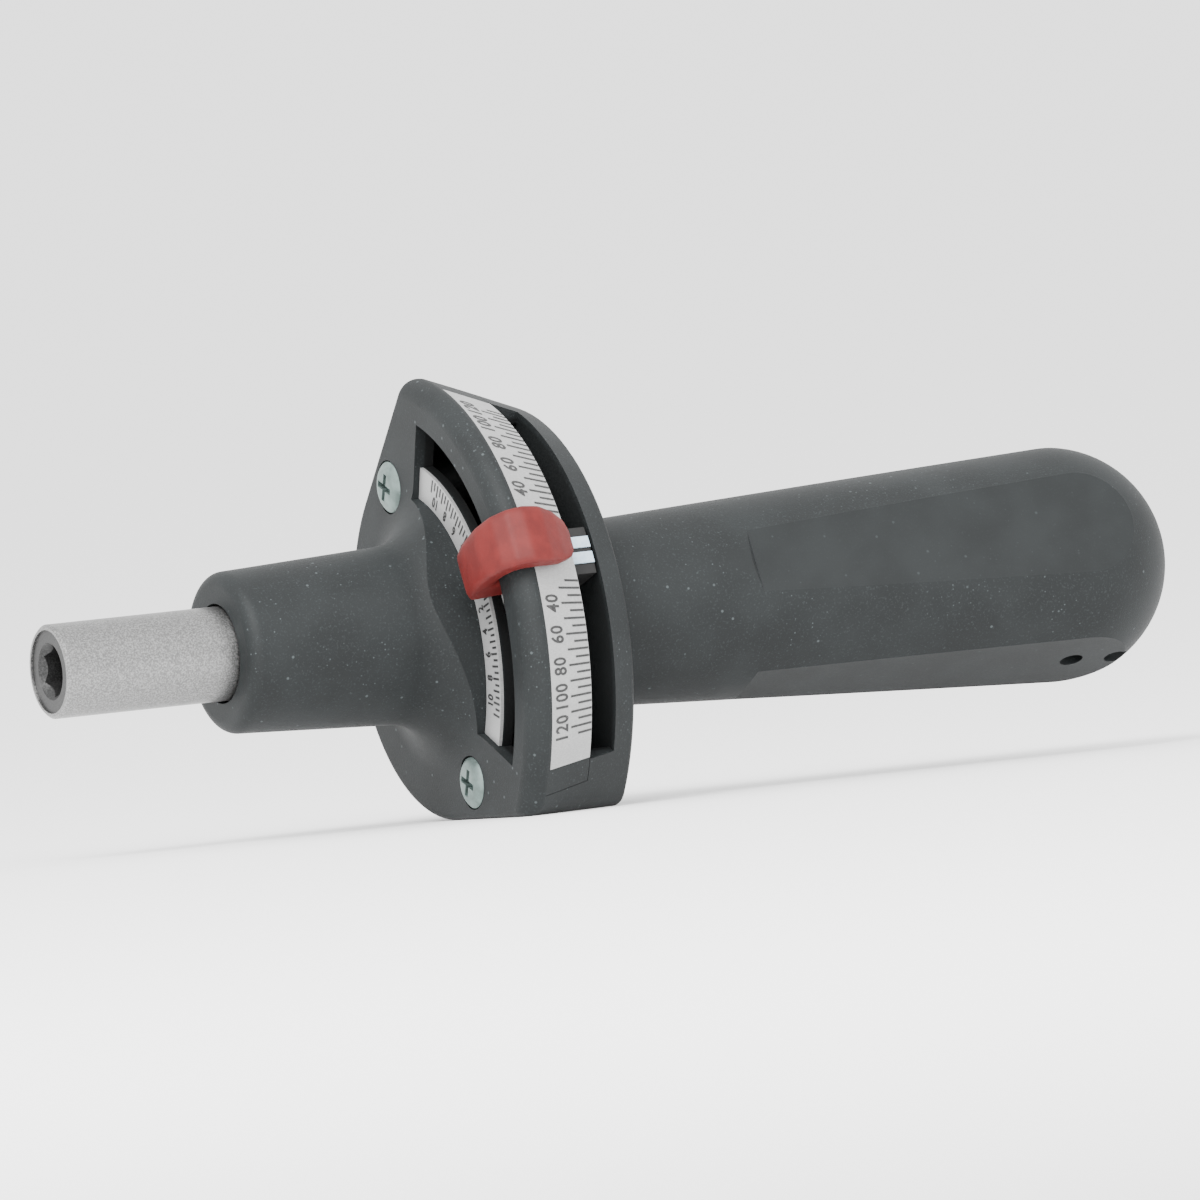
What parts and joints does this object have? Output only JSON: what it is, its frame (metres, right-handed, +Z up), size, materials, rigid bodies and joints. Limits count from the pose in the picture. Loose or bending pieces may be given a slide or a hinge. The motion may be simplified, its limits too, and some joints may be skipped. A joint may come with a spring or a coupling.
{
  "type": "torque screwdriver",
  "caption": "Dial torque screwdriver: hexagonal bit holder, torsion-bar handle, scales read either way, swinging index and a red drag pointer that stays at the peak reading.",
  "frame": {"origin": "on the surface it lies on, below the centre of the bounding box", "axes": "+X along the tool axis from the bit holder to the domed end of the handle, +Z up, -Y the side that the dial faces"},
  "size_m": [0.1764, 0.0592, 0.0636],
  "materials": {
    "housing_plastic": "matte",
    "scale_plate": "satin",
    "zinc_steel": "satin",
    "satin_steel": "satin",
    "black_steel": "satin",
    "spring_steel": "polished",
    "plain_steel": "satin",
    "bronze": "satin",
    "anchor_alloy": "satin",
    "index_black": "matte",
    "mark_white": "satin",
    "pointer_red": "matte"
  },
  "bodies": {
    "housing": {"front_cover": "housing_plastic", "handle_shell": "housing_plastic", "rim_scale": "scale_plate", "face_scale": "scale_plate", "cover_screws": "zinc_steel", "front_bush": "bronze", "rear_bush": "bronze", "pivot_pin": "plain_steel", "bar_anchor": "anchor_alloy"},
    "drive": {"bit_holder": "satin_steel", "hex_insert": "black_steel", "bit_ring": "spring_steel", "thrust_washer": "plain_steel", "crank_arm": "plain_steel", "crank_pin": "plain_steel", "crank_clip": "spring_steel", "torsion_bar": "spring_steel", "cross_pin": "plain_steel"},
    "index": {"index_lever": "index_black", "index_marks": "mark_white"},
    "pointer": {"drag_pointer": "pointer_red", "pointer_spring": "spring_steel"}
  },
  "joints": [
    {"name": "drive_turn", "type": "hinge", "parent": "housing", "child": "drive", "pos_m": [-0.05825, 0.00219, 0.0274], "axis": [1, 0, 0], "range_deg": [-78, 78], "stiffness_Nm_per_rad": 0.95},
    {"name": "index_turn", "type": "hinge", "parent": "housing", "child": "index", "pos_m": [-0.01725, 0.01277, 0.02291], "axis": [1, 0, 0], "range_deg": [-39, 39]},
    {"name": "pointer_turn", "type": "hinge", "parent": "housing", "child": "pointer", "pos_m": [-0.02225, 0.01277, 0.02291], "axis": [1, 0, 0], "range_deg": [-39, 39]}
  ],
  "couplings": [
    {"joint": "index_turn", "follows": "drive_turn", "ratio": 0.5}
  ]
}
